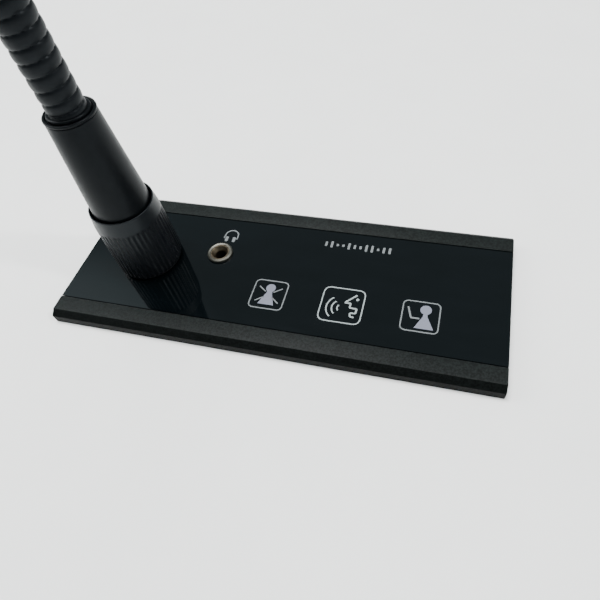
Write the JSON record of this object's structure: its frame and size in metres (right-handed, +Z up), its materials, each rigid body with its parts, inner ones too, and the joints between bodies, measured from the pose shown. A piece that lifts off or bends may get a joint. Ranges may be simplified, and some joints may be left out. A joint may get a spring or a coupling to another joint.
{
  "type": "gooseneck podium microphone",
  "caption": "Table-mounted conference microphone unit: gloss touch panel between dark rails, headphone jack, touch keys and a plug-in gooseneck with a fluted locking collar.",
  "frame": {"origin": "centre of the plate on the table surface, in the middle of the table's cut-out", "axes": "+X along the plate to the speaker's right, +Y away from the speaker, +Z up out of the table"},
  "size_m": [0.1484, 0.0854, 0.4049],
  "materials": {
    "gloss_panel": "polished black acrylic",
    "rail": "fine matte anodised, black with a green cast",
    "satin_black": "satin black",
    "flex_neck": "satin black, ridged",
    "stem": "satin black",
    "nickel": "bright nickel",
    "brass": "turned",
    "steel": "bright zinc",
    "tub_steel": "black powder coat",
    "port_shell": "tinned",
    "circuit_board": "solder mask",
    "insulator": "moulded",
    "light_guide": "milky",
    "light_ring": "milky",
    "grille": "woven wire, black",
    "foam": "open-cell foam"
  },
  "bodies": {
    "base": {"top_panel": "gloss_panel", "front_rail": "rail", "rear_rail": "rail", "deck_plate": "steel", "key_light_guide_1": "light_guide", "key_light_guide_2": "light_guide", "key_light_guide_3": "light_guide", "touch_board": "circuit_board", "jack_body": "brass", "jack_ring": "nickel", "tub": "tub_steel", "bottom_cover": "tub_steel", "cover_screw_1": "steel", "cover_screw_2": "steel", "cover_screw_3": "steel", "cover_screw_4": "steel", "network_port_1": "port_shell", "network_port_2": "port_shell", "main_board": "circuit_board", "left_clamp_screw": "steel", "right_clamp_screw": "steel", "socket_shell": "nickel", "socket_insert": "insulator", "socket_ring_nut": "nickel"},
    "left_nut": {"left_clamp_nut": "steel"},
    "left_arm": {"left_clamp_arm": "tub_steel"},
    "right_nut": {"right_clamp_nut": "steel"},
    "right_arm": {"right_clamp_arm": "tub_steel"},
    "plug": {"plug_shell": "nickel", "plug_insert": "insulator", "contact_pin_1": "brass", "contact_pin_2": "brass", "contact_pin_3": "brass", "sleeve": "satin_black", "sleeve_bead": "satin_black", "neck_ferrule": "satin_black"},
    "washer": {"slip_washer": "steel"},
    "collar": {"locking_collar": "satin_black"},
    "lower_link_1": {"lower_link_1": "flex_neck"},
    "lower_link_2": {"lower_link_2": "flex_neck"},
    "lower_link_3": {"lower_link_3": "flex_neck"},
    "lower_link_4": {"lower_link_4": "flex_neck"},
    "lower_link_5": {"lower_link_5": "flex_neck"},
    "stem": {"stem_tube": "stem"},
    "upper_link_1": {"upper_link_1": "flex_neck"},
    "upper_link_2": {"upper_link_2": "flex_neck"},
    "upper_link_3": {"upper_link_3": "flex_neck"},
    "upper_link_4": {"upper_link_4": "flex_neck"},
    "upper_link_5": {"upper_link_5": "flex_neck"},
    "head": {"head_coupling": "satin_black", "light_ring": "light_ring", "capsule_housing": "satin_black", "capsule": "steel", "grille": "grille"},
    "foam": {"windscreen": "foam"}
  },
  "joints": [
    {"name": "plug_lift", "type": "slide", "parent": "base", "child": "plug", "axis": [0, 0, 1], "range_m": [0, 0.03]},
    {"name": "collar_climb", "type": "slide", "parent": "plug", "child": "washer", "axis": [0, 0, 1], "range_m": [0, 0.00301]},
    {"name": "collar_turn", "type": "hinge", "parent": "washer", "child": "collar", "pos_m": [-0.0452, 0, 0.016], "axis": [0, 0, 1], "range_deg": [0, 720]},
    {"name": "lower_bend_1", "type": "hinge", "parent": "plug", "child": "lower_link_1", "pos_m": [-0.0452, 0, 0.061], "axis": [1, 0, 0], "range_deg": [-15, 15]},
    {"name": "lower_sway_1", "type": "hinge", "parent": "lower_link_1", "child": "lower_link_2", "pos_m": [-0.0452, 0, 0.076], "axis": [0, 1, 0], "range_deg": [-15, 15]},
    {"name": "lower_bend_2", "type": "hinge", "parent": "lower_link_2", "child": "lower_link_3", "pos_m": [-0.0452, 0, 0.091], "axis": [1, 0, 0], "range_deg": [-15, 15]},
    {"name": "lower_sway_2", "type": "hinge", "parent": "lower_link_3", "child": "lower_link_4", "pos_m": [-0.0452, 0, 0.106], "axis": [0, 1, 0], "range_deg": [-15, 15]},
    {"name": "lower_bend_3", "type": "hinge", "parent": "lower_link_4", "child": "lower_link_5", "pos_m": [-0.0452, 0, 0.121], "axis": [1, 0, 0], "range_deg": [-15, 15]},
    {"name": "lower_sway_3", "type": "hinge", "parent": "lower_link_5", "child": "stem", "pos_m": [-0.0452, 0, 0.136], "axis": [0, 1, 0], "range_deg": [-15, 15]},
    {"name": "upper_bend_1", "type": "hinge", "parent": "stem", "child": "upper_link_1", "pos_m": [-0.0452, 0, 0.246], "axis": [1, 0, 0], "range_deg": [-15, 15]},
    {"name": "upper_sway_1", "type": "hinge", "parent": "upper_link_1", "child": "upper_link_2", "pos_m": [-0.0452, -0.00157, 0.26092], "axis": [0, 0.9945, 0.1045], "range_deg": [-15, 15]},
    {"name": "upper_bend_2", "type": "hinge", "parent": "upper_link_2", "child": "upper_link_3", "pos_m": [-0.0452, -0.00469, 0.27559], "axis": [1, 0, 0], "range_deg": [-15, 15]},
    {"name": "upper_sway_2", "type": "hinge", "parent": "upper_link_3", "child": "upper_link_4", "pos_m": [-0.0452, -0.00932, 0.28986], "axis": [0, 0.9511, 0.309], "range_deg": [-15, 15]},
    {"name": "upper_bend_3", "type": "hinge", "parent": "upper_link_4", "child": "upper_link_5", "pos_m": [-0.0452, -0.01542, 0.30356], "axis": [1, 0, 0], "range_deg": [-15, 15]},
    {"name": "upper_sway_3", "type": "hinge", "parent": "upper_link_5", "child": "head", "pos_m": [-0.0452, -0.02292, 0.31655], "axis": [0, 0.866, 0.5], "range_deg": [-15, 15]},
    {"name": "windscreen_pull", "type": "slide", "parent": "head", "child": "foam", "axis": [0, -0.5878, 0.809], "range_m": [0, 0.04]},
    {"name": "left_clamp_climb", "type": "slide", "parent": "base", "child": "left_nut", "axis": [0, 0, 1], "range_m": [0, 0.022]},
    {"name": "left_clamp_swing", "type": "hinge", "parent": "left_nut", "child": "left_arm", "pos_m": [-0.0602, 0, -0.03], "axis": [0, 0, 1], "range_deg": [-90, 0]},
    {"name": "right_clamp_climb", "type": "slide", "parent": "base", "child": "right_nut", "axis": [0, 0, 1], "range_m": [0, 0.022]},
    {"name": "right_clamp_swing", "type": "hinge", "parent": "right_nut", "child": "right_arm", "pos_m": [0.0602, 0, -0.03], "axis": [0, 0, 1], "range_deg": [0, 90]}
  ],
  "couplings": [
    {"joint": "collar_climb", "follows": "collar_turn", "m_per_rad": 0.00023873},
    {"joint": "lower_bend_2", "follows": "lower_bend_1", "ratio": 1},
    {"joint": "lower_sway_2", "follows": "lower_sway_1", "ratio": 1},
    {"joint": "lower_bend_3", "follows": "lower_bend_1", "ratio": 1},
    {"joint": "lower_sway_3", "follows": "lower_sway_1", "ratio": 1},
    {"joint": "upper_bend_2", "follows": "upper_bend_1", "ratio": 1},
    {"joint": "upper_sway_2", "follows": "upper_sway_1", "ratio": 1},
    {"joint": "upper_bend_3", "follows": "upper_bend_1", "ratio": 1},
    {"joint": "upper_sway_3", "follows": "upper_sway_1", "ratio": 1}
  ]
}
